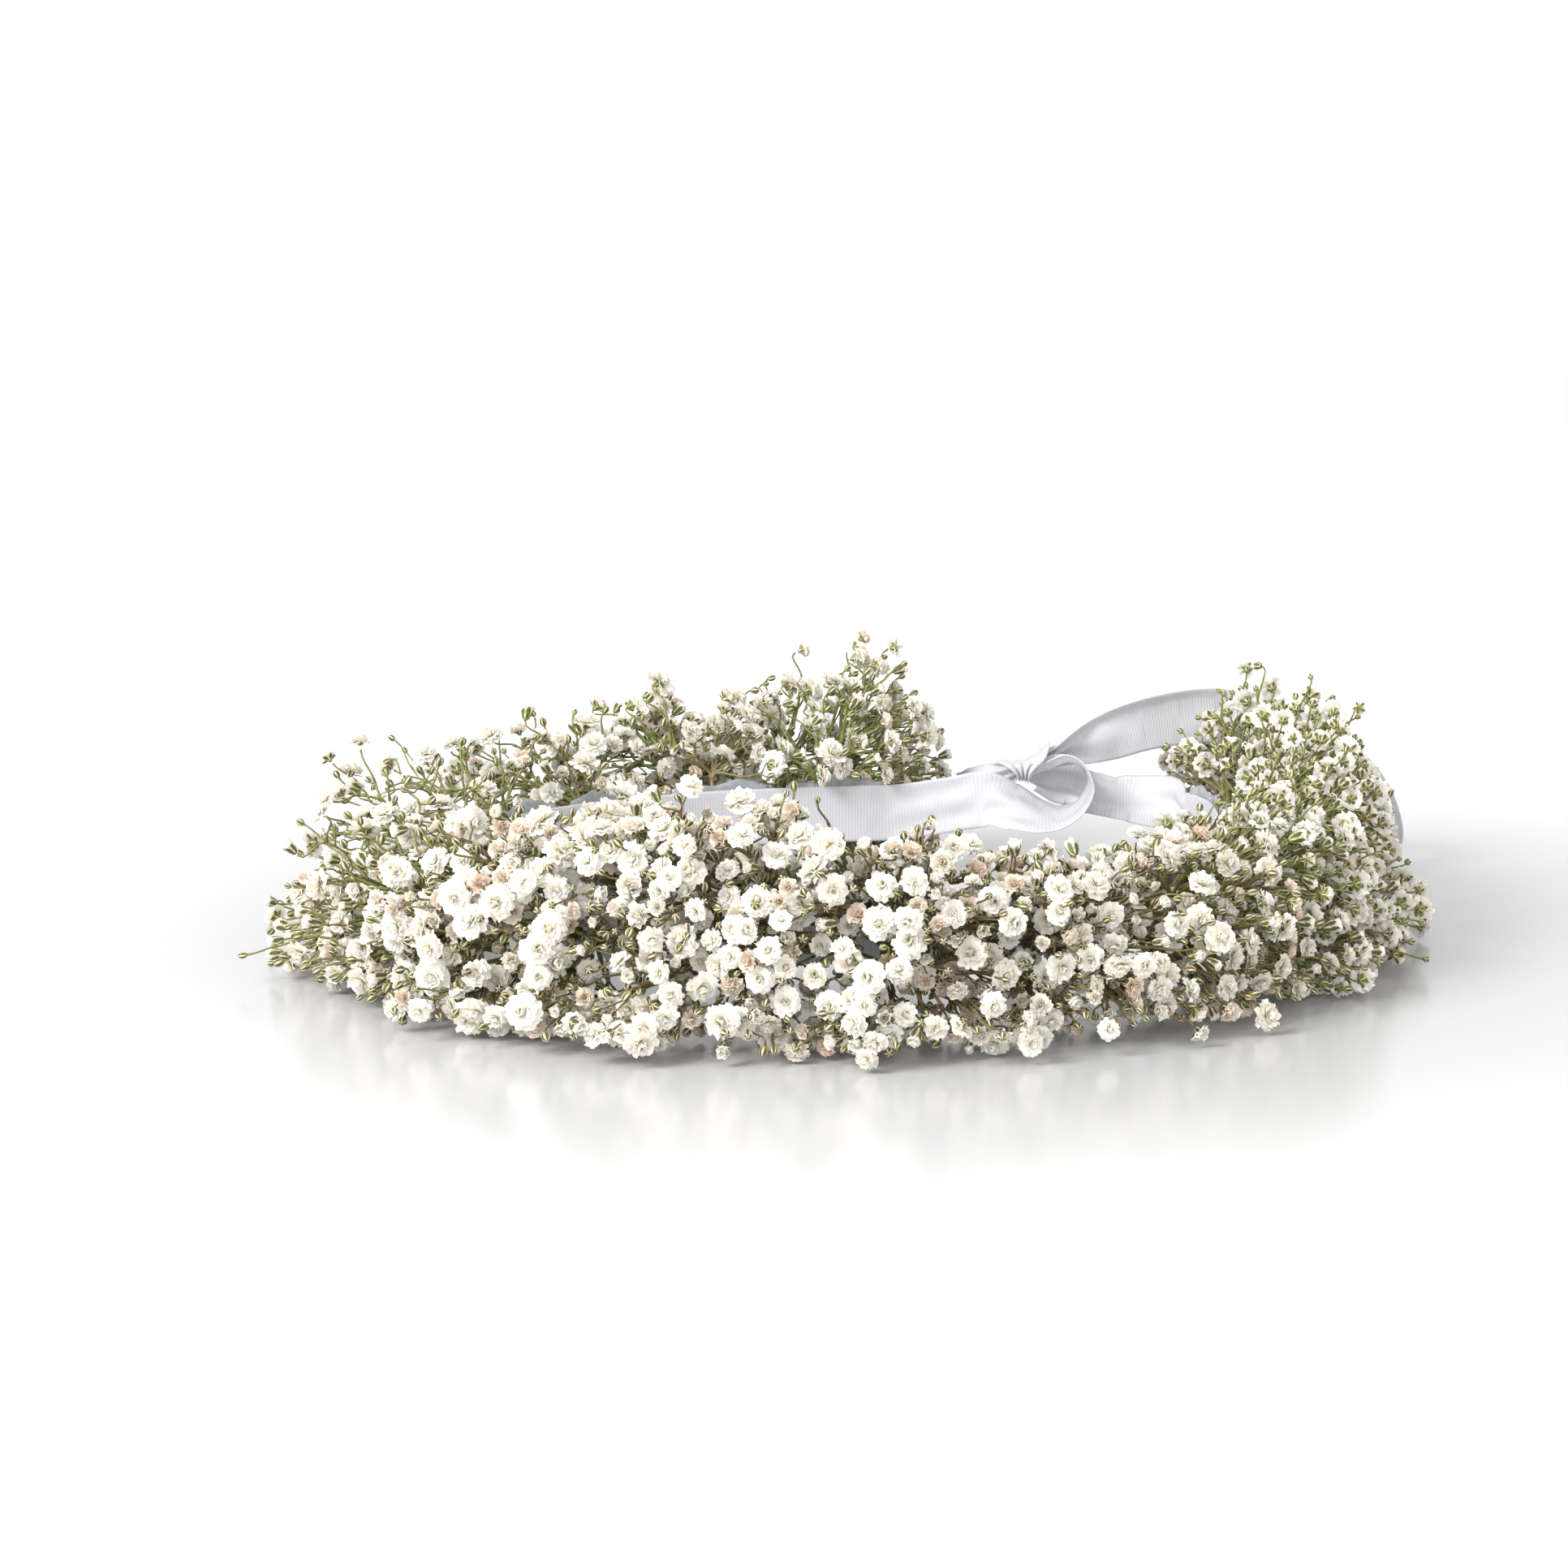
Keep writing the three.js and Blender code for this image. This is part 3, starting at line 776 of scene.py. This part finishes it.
def build_sprays(looks):
    """Places every flower head, shares them out among the sprays and grows each spray to its own."""
    rng = np.random.default_rng(SEED)
    open_ones = [open_flower(rng) for _ in range(9)]
    half_ones = [half_open_flower(rng) for _ in range(4)]
    aged_ones = [aged_flower(rng) for _ in range(5)]
    cups = [calyx(rng, spread) for spread in (0.75, 0.85, 0.95)]
    closed_cups = [calyx(rng, 0.2) for _ in range(2)]
    buds = [bud(rng) for _ in range(3)]

    none = np.zeros((0, 3))
    shell = sample_heads(rng, OUTER_FLORETS, 30000, 0.84, 1.0, 5.0, none, 0, 1.0)
    inner = sample_heads(rng, INNER_FLORETS, 18000, 0.3, 0.82, 5.0, ring_place(*shell.T), 4.2, 0.2)
    florets = np.vstack([shell, inner])
    taken = ring_place(*florets.T)
    bud_heads = sample_heads(rng, OUTER_BUDS, 16000, 0.78, 1.08, 3.0, taken, 3.3, 0.6)
    filling = sample_heads(rng, INNER_BUDS, 20000, 0.1, 0.8, 3.0, ring_place(*bud_heads.T), 2.8, 0)
    bud_heads = np.vstack([bud_heads, filling])
    sprigs = sample_heads(rng, SPRIGS, 3000, 1.08, 1.28, 6.0, ring_place(*bud_heads.T), 4.0, 0.6)
    highest = spray_value(SPRAY_TOPS, sprigs[:, 0]) + SPRIG_HEIGHT
    sprigs[:, 2] = np.minimum(sprigs[:, 2], highest)
    heads = np.vstack([florets, bud_heads, sprigs])
    is_bud = np.arange(len(heads)) >= len(florets)
    is_bud[len(florets) + len(bud_heads):] = rng.uniform(0, 1, len(sprigs)) < SPRIG_BUD_SHARE
    pitch = BAND_LENGTH / len(SPRAY_TOPS)
    nearest_spray = (heads[:, 0] + rng.uniform(-5, 5, len(heads))) // pitch
    owner = np.clip(nearest_spray, 0, len(SPRAY_TOPS) - 1).astype(int)

    for number in range(len(SPRAY_TOPS)):
        label = f"{number + 1:02d}"
        mine = owner == number
        twigs, petals, sepals = Pile(), Pile(), Pile()
        target, facing = grow(rng, number, heads[mine], is_bud[mine], twigs)
        budding = is_bud[mine]
        count = len(target)
        spin = rng.uniform(0, 2 * math.pi, count)
        drift = np.sin(target[:, 0] * 0.11 + target[:, 1] * 0.07 + number)
        patch = 0.5 + 0.5 * drift * np.cos(target[:, 2] * 0.15)
        chance = rng.uniform(0, 1, count)
        # 0 open, 1 half open, 2 aged, 3 bud
        kind = np.where(chance < 0.52, 0, np.where(chance < 0.77, 1, 2))
        kind[budding] = 3
        age = np.where(kind == 2, rng.uniform(0.25, 1.0, count) * (0.5 + 0.5 * patch),
                       rng.uniform(0, 0.22, count) * patch)
        size = np.where(kind == 3, rng.uniform(0.75, 1.1, count), rng.uniform(0.66, 1.03, count))
        size[kind == 2] *= 0.92
        size *= SPRAY_SIZE[number]
        # Where the flowers are smaller their calyces are a little larger, and show more
        cup_size = size / SPRAY_SIZE[number] ** 2
        foot = target - facing * np.where(budding, BUD_FOOT, FLOWER_FOOT)[:, None] * size[:, None]
        extra = np.column_stack([rng.uniform(0, 1, count), age])
        dark = np.column_stack([rng.uniform(0, 1, count), rng.uniform(0, 1, count)])
        variant = rng.integers(0, 1000, count)
        for chosen, templates in ((0, open_ones), (1, half_ones), (2, aged_ones)):
            for k, template in enumerate(templates):
                pick = (kind == chosen) & (variant % len(templates) == k)
                place(petals, template, foot[pick], facing[pick], spin[pick], size[pick], extra[pick])
        for k, template in enumerate(cups):
            pick = ((kind == 0) | (kind == 2)) & (variant % len(cups) == k)
            place(sepals, template, foot[pick], facing[pick], spin[pick], cup_size[pick], dark[pick])
        for k, template in enumerate(closed_cups):
            pick = (kind == 1) & (variant % len(closed_cups) == k)
            place(sepals, template, foot[pick], facing[pick], spin[pick], size[pick] * 1.25, dark[pick])
        for k, template in enumerate(buds):
            pick = (kind == 3) & (variant % len(buds) == k)
            place(sepals, template, foot[pick], facing[pick], spin[pick], size[pick], dark[pick])
        add_piece(petals, f"spray_{label}_petals", looks["petal"], [f"spray_{label}_blooms"])
        add_piece(sepals, f"spray_{label}_buds_and_calyces", looks["sepal"], [])
        add_piece(twigs, f"spray_{label}_twigs", looks["twig"], [f"spray_{label}_stems"])


def add_piece(pile, name, material, nodes, body="crown"):
    piece = pile.build(name, material)
    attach(piece, body)
    if nodes:
        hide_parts(*nodes)
    return piece


# ---------------------------------------------------------------- glue

def build_glue(looks):
    """A lumpy bead over each CAD bead, squeezed up past the ribbon's upper edge in places."""
    rng = np.random.default_rng(SEED + 1)
    pitch = BAND_LENGTH / len(SPRAY_TOPS)
    rows, columns = 25, 14
    for number in range(len(SPRAY_TOPS)):
        label = f"{number + 1:02d}"
        t = np.linspace(0, 1, rows)
        along = (number + 0.5) * pitch + (t - 0.5) * (pitch - 5)
        swell = np.sin(np.clip(t * 0.96 + 0.02, 0, 1) * math.pi) ** 0.55
        lumpy = 1 + 0.5 * np.sin(t * 9 + number * 2.3)
        crest = BAND_HIGH + 0.5 + 2.2 * swell * lumpy + rng.normal(0, 0.15, rows)
        foot = BAND_HIGH - 4 - 6.5 * swell * (1 + 0.25 * np.sin(t * 7 + number))
        thick = 0.25 + 1.3 * swell * (1 + 0.3 * np.sin(t * 11 + number * 1.3))
        angle = np.arange(columns) * 2 * math.pi / columns
        out = 0.55 + thick[:, None] * (1 + np.cos(angle)) / 2
        up = (crest + foot)[:, None] / 2 + (crest - foot)[:, None] / 2 * np.sin(angle)
        spots = ring_place(np.repeat(along, columns), out.ravel(), up.ravel())
        pile = Pile()
        pile.add(spots, closed_tube_faces(rows, columns), np.zeros((len(spots), 4)))
        add_piece(pile, f"hot_glue_{label}", looks["glue"], [f"glue_bead_{label}"])


# ---------------------------------------------------------------- ribbon

KNOT = np.array(next(j["pos_m"] for j in frame["joints"] if j["name"] == "tail_long_swing")) / MM
RIBBON_POINTS = []
# The CAD source's place for the knot, from which its ribbon points are measured
KNOT_IN_SOURCE = np.array([62.6, 96.5, 33.0])


def at_knot(points):
    """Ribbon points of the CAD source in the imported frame."""
    return np.array(points, float) - KNOT_IN_SOURCE + KNOT


def ribbon_strip(name, stations, looks, nodes, body=None):
    """A length of grosgrain through stations, each (x, y, z, half x, half y, half z, folds, bow, crease,
    turn). The half reaches from the middle to the upper edge. Where it is shorter than half the ribbon's
    width, the cloth is gathered into that many folds. The bow lifts its middle, and past the crease,
    which runs lengthwise from -1 at the lower edge to 1 at the upper, it turns back by that many degrees."""
    rough = np.array(stations, float)
    length = lengths_along(spline(rough, 400))[-1]
    rows = int(length / RIB_PITCH * SAMPLES_PER_RIB)
    line = spline(rough, rows)
    centre, half = line[:, :3], line[:, 3:6]
    fold, bow, crease, turn = (line[:, k:k + 1] for k in range(6, 10))
    reach = lengths_along(centre)[:, None]
    way = unit(np.gradient(centre, axis=0))
    half = half - way * (half * way).sum(1, keepdims=True)
    face = unit(np.cross(way, half))
    narrow = np.clip(np.linalg.norm(half, axis=1, keepdims=True), 1.2, RIBBON_WIDTH / 2)
    up = unit(half)
    slack = np.sqrt(np.maximum((RIBBON_WIDTH / 2 / narrow) ** 2 - 1, 0) * 2)
    wave = np.minimum(narrow * slack / (math.pi * np.maximum(fold, 1)), 2.4)
    columns = 21
    u = np.linspace(-1, 1, columns)[None, :]
    past = np.maximum(u - crease, 0) * np.radians(turn) / 0.15
    past = np.minimum(past, np.radians(turn))
    step = 2 / (columns - 1)
    shortfall = np.cumsum(np.cos(past) - 1, axis=1) * step
    setback = np.cumsum(np.sin(past), axis=1) * step
    ripple = wave * np.sin(math.pi * fold * u + 0.9 + 0.05 * reach) + bow * (1 - u ** 2)
    middle = (centre[:, None] + up[:, None] * (narrow * (u + shortfall))[..., None]
              + face[:, None] * (ripple + narrow * setback)[..., None])
    rib = RIB_HEIGHT * np.cos(2 * math.pi * reach / RIB_PITCH) * (np.abs(u) < 0.96)
    across = np.gradient(middle, axis=1)
    along = np.gradient(middle, axis=0)
    normal = unit(np.cross(along, across))
    thickness = (RIBBON_THICKNESS / 2 + rib)[..., None]
    front, back = middle + normal * thickness, middle - normal * thickness
    loop = np.concatenate([front, back[:, ::-1]], axis=1)
    # 1 on the ribs' crests and 0 in their grooves, where the ribbon's material paints shade
    grain_tone_and_groove_shade = np.broadcast_to(0.5 + 0.5 * np.cos(2 * math.pi * reach / RIB_PITCH), (rows, 2 * columns))
    tints = np.stack([grain_tone_and_groove_shade, grain_tone_and_groove_shade * 0, grain_tone_and_groove_shade * 0, grain_tone_and_groove_shade * 0], -1)
    RIBBON_POINTS.append(middle[::6, ::4].reshape(-1, 3))
    pile = Pile()
    pile.add(loop, closed_tube_faces(rows, 2 * columns), tints)
    piece = pile.build(name, looks["ribbon"])
    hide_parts(*nodes)
    if body:
        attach(piece, body)
    return piece


def stations_at_knot(rows):
    """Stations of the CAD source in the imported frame, each filled up to ten values."""
    table = np.array([list(row) + [2, 0, 2, 0][len(row) - 6:] for row in rows], float)
    table[:, :3] = at_knot(table[:, :3])
    return table


def build_ribbon(looks):
    # From inside the knot over the top of the slack loop, round its right side, under it and into the
    # left tie
    left = stations_at_knot([
        (62.6, 97, 33.5, 0, 2, 1.5), (68, 96, 36, 0, 4, 1), (74, 95.2, 37, -0.3, 6.8, -1),
        (78.4, 94.5, 35, -0.4, 7.9, -0.7), (80.3, 94, 29.4, -0.5, 8, 0.4), (77.2, 93.8, 23.6, 0, 7.9, 1.4),
        (72, 93.6, 20.8, 0.6, 7.7, 2.2), (65.4, 93.6, 21, 0.2, 7, 3.9), (58, 94.8, 23.2, 0, 4.7, 6.5),
        (51, 96.8, 25, 0, 1, 7.9), (40, 98.3, 23.2, 0, 0, 8)])
    right = stations_at_knot([
        (103.6, 95, 24, 0, 2, 7.7), (93.2, 99.5, 25, 0, 5.2, 6.1), (87, 100, 25.6, 0, 6, 5),
        (81, 102.5, 26.6, 0, 5.4, 5.6), (75, 105, 28.4, -1, 4, 6), (69, 103.5, 29.9, -1, 2.5, 5.8),
        (64.5, 98.5, 31.6, 0, 1, 4)])
    middle = (BAND_LOW + BAND_HIGH) / 2
    along = np.linspace(BAND_LENGTH, 0, 60)
    ring = np.zeros((len(along), 10))
    ring[:, :3] = ring_place(along, 0 * along, middle + 0 * along)
    ring[:, 5:] = (RIBBON_WIDTH / 2, 2, 0, 2, 0)
    ribbon_strip("ribbon_ring_loop_and_ties", np.vstack([left, ring, right]), looks,
                 ["ribbon_band", "ribbon_tie_left", "ribbon_tie_right"],
                 "crown")

    # Over the knot from its front, where the folds meet, to behind it and back underneath
    wrap = stations_at_knot([
        (61.5, 94, 31.2, 1.6, 0, -0.5, 4, 0.3), (61.2, 91.4, 33.4, 2.6, 0, 0.2, 4, 0.8),
        (61.1, 91.2, 36.4, 5.6, 0, 1.4, 4, 1.8), (61.2, 94.4, 38.6, 7.4, 0, 2.6, 4, 2.5),
        (61.4, 100, 38.2, 7, 0, 2.4, 4, 2.2), (61.8, 104, 34.5, 5, 0, 1, 4, 1.4),
        (62.2, 103, 30.5, 4, 0, 0, 4, 0.8)])
    ribbon_strip("ribbon_knot_wrap", wrap, looks, ["ribbon_knot"],
                 "crown")

    # Out of the knot behind the loop, along behind the right-hand flowers and down to the table
    tail = stations_at_knot([
        (64, 99, 35, 0, 0.5, 2.5, 3, 0, -0.6, 50), (68.5, 101, 37, -0.5, 1, 3.6, 3, 0, -0.6, 50),
        (74, 103.5, 39.3, -1.5, 1, 5.2, 2, 0, -0.2, 55), (81.8, 106, 41.4, -1.5, 1.5, 6.8, 1, 0, 0.35, 60),
        (88, 108.5, 43, -1.2, 1, 7.8, 1, 0, 0.5, 55), (96, 112, 44.8, -1, 1, 7.9, 1, 0, 0.55, 50),
        (104, 116, 45.6, -0.5, 1.5, 7.9, 1, 0, 0.6, 45), (112, 119.5, 45.8, 0, 2, 7.7, 1, 0, 0.7, 30),
        (120, 122.5, 45.6, 0, 3.5, 7.2, 1, 0, 0.8, 15), (128, 125, 45.6, 0, 5.8, 5.5),
        (136, 126.5, 45, 0, 7.4, 2.8), (145, 128, 43.6, 0, 8, 1), (156, 128, 38, 0, 8, 0),
        (165, 128, 30.2, 0, 8, 0), (170.5, 127, 20, 0, 8, 0), (172, 126, 10, 0, 8, 0),
        (168.5, 125, 2.4, 0, 8, 0), (160, 124, 0.6, 0, 8, 0), (149, 123, 0.6, 0, 8, 0)])
    piece = ribbon_strip("ribbon_long_tail", tail, looks, ["ribbon_tail_long"])
    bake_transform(piece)

    short = stations_at_knot([
        (60.5, 100.5, 33, 0, 0, 2.5, 3), (57.5, 103.5, 31.5, 0, 0, 3.8, 3), (52, 108, 28, 0, 0, 6.4),
        (47.5, 115, 24, 0, 1, 7.8), (45, 124, 21, 0, 0, 8), (44, 134, 19, 0, 0, 8)])
    piece = ribbon_strip("ribbon_short_tail", short, looks, ["ribbon_tail_short"])
    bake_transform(piece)


# ---------------------------------------------------------------- camera, floor and light

def make_camera():
    """A long lens 1.2 m away, 11 degrees above the table. The crown lies below the picture's middle."""
    distance, elevation = 1.2, math.radians(11)
    lens, sensor = 104.35, 36.0
    above, aside = math.radians(2.1067), math.radians(0.28647)
    knot_shift = (KNOT - KNOT_IN_SOURCE) * MM
    data = bpy.data.cameras.new("camera")
    data.lens, data.sensor_width = lens, sensor
    data.clip_start, data.clip_end = 0.05, 50
    camera = bpy.data.objects.new("camera", data)
    camera.location = (knot_shift[0], knot_shift[1] - distance * math.cos(elevation),
                       distance * math.sin(elevation))
    camera.rotation_euler = (math.pi / 2 - elevation + above, 0, aside)
    bpy.context.scene.collection.objects.link(camera)
    bpy.context.scene.camera = camera


def make_floor():
    """A pale table that sweeps up into a backdrop far behind."""
    front, back, top, side, bend, bend_steps = -3.0, 1.5, 6.0, 6.0, 1.5, 12
    rows = [(front, 0.0), (back, 0.0)]
    for k in range(1, bend_steps + 1):
        a = math.radians(90 * k / bend_steps)
        rows.append((back + bend * math.sin(a), bend * (1 - math.cos(a))))
    rows.append((back + bend, top))
    verts = [(x, y, z) for y, z in rows for x in (-side, side)]
    faces = grid_faces(len(rows), 2)
    mesh = bpy.data.meshes.new("floor")
    mesh.from_pydata(verts, [], [tuple(int(i) for i in f) for f in faces])
    for polygon in mesh.polygons:
        polygon.use_smooth = True
    floor = bpy.data.objects.new("floor", mesh)
    material, nodes, links, shader = new_material("floor")
    # Painted shade: grey under and round the crown, paler further off
    where = nodes.new("ShaderNodeTexCoord")
    distance = node(nodes, "ShaderNodeVectorMath", operation="LENGTH")
    links.new(where.outputs["Object"], distance.inputs[0])
    far = ramp(nodes, [(0.16, (0.5, 0.5, 0.507)), (0.27, (0.62, 0.62, 0.627)), (0.5, (0.93, 0.93, 0.93))],
               distance.outputs["Value"], links)
    links.new(far, shader.inputs["Base Color"])
    shader.inputs["Roughness"].default_value = 0.2
    mesh.materials.append(material)
    bpy.context.scene.collection.objects.link(floor)


def area_light(name, place_at, size, power):
    """A square light that faces the origin."""
    data = bpy.data.lights.new(name, "AREA")
    data.shape, data.size, data.energy = "SQUARE", size, power
    light = bpy.data.objects.new(name, data)
    light.location = place_at
    x, y, z = place_at
    light.rotation_euler = (math.acos(z / math.hypot(x, y, z)), 0, math.atan2(-y, -x) - math.pi / 2)
    bpy.context.scene.collection.objects.link(light)


def make_light():
    world = bpy.data.worlds.new("studio")
    world.use_nodes = True
    world.node_tree.nodes["Background"].inputs["Color"].default_value = (1, 1, 1, 1)
    world.node_tree.nodes["Background"].inputs["Strength"].default_value = 0.93
    bpy.context.scene.world = world
    area_light("softbox_left", (-1.1, -1.0, 1.0), size=0.8, power=42)
    area_light("softbox_front", (0.1, -1.7, 0.5), size=1.0, power=12)
    bpy.context.scene.view_settings.view_transform = "Standard"


make_camera()
make_floor()
make_light()
LOOKS = {"petal": petal_material(), "sepal": sepal_material(), "twig": twig_material(),
         "ribbon": ribbon_material(), "glue": glue_material()}
build_ribbon(LOOKS)
build_glue(LOOKS)
build_sprays(LOOKS)
